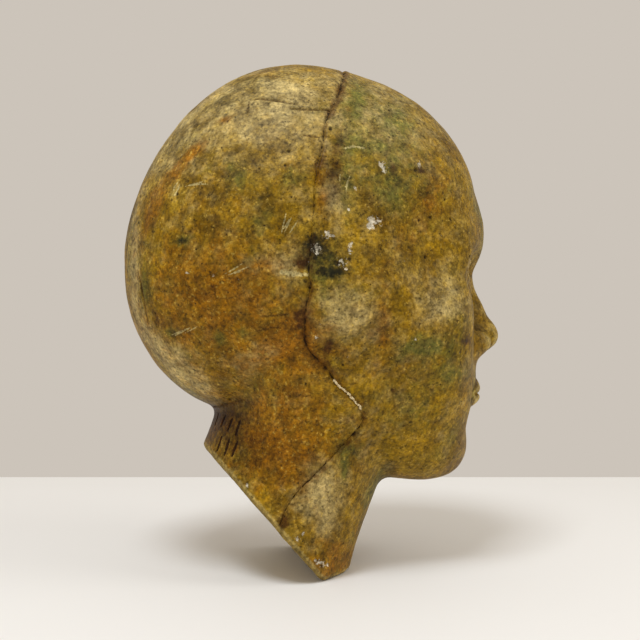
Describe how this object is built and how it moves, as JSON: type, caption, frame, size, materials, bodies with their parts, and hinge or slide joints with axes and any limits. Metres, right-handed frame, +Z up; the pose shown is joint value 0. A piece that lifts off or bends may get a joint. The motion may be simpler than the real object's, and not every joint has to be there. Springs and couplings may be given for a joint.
{
  "type": "plaster head bust",
  "caption": "Life-size bald plaster head without ears, in aged ochre and green patina, its neck cut obliquely, standing upright on the neck's front tip.",
  "frame": {"origin": "middle of the small flat under the front of the neck, which the head stands on", "axes": "+X the way the face looks, +Y the head's left, +Z up"},
  "size_m": [0.214, 0.1566, 0.2775],
  "materials": {
    "patinated_plaster": "satin, aged cream plaster with green, ochre and brown patina"
  },
  "bodies": {
    "root": {"plaster_head": "patinated_plaster"}
  },
  "joints": []
}
